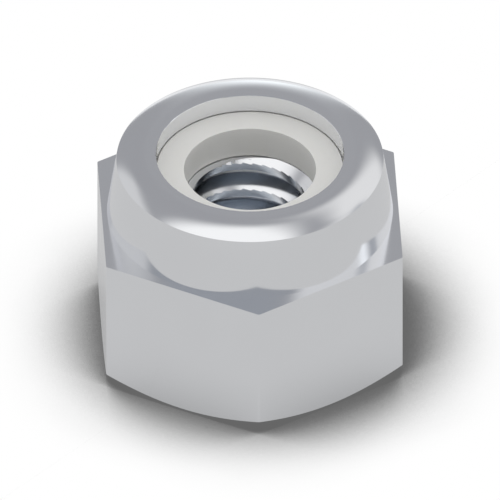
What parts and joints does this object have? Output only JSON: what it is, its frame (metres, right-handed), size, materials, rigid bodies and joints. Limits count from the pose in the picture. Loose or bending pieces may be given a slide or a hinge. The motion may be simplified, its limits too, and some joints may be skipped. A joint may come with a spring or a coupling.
{
  "type": "nylon insert lock nut",
  "caption": "Hexagon lock nut with a swaged collar that holds a nylon ring, which grips the screw's thread so the nut can't shake loose.",
  "frame": {"origin": "centre of the bearing face, on the thread's axis; the nut stands on that face", "axes": "+Z along the thread's axis from the bearing face to the collar; two corners of the hexagon on the Y axis, two flats square to the X axis"},
  "size_m": [0.0096, 0.011, 0.0072],
  "materials": {
    "plated_steel": "bright zinc plate, smooth, on cold-formed steel",
    "nylon": "natural nylon, off-white, satin"
  },
  "bodies": {
    "root": {"nut_body": "plated_steel", "nylon_insert": "nylon"}
  },
  "joints": []
}
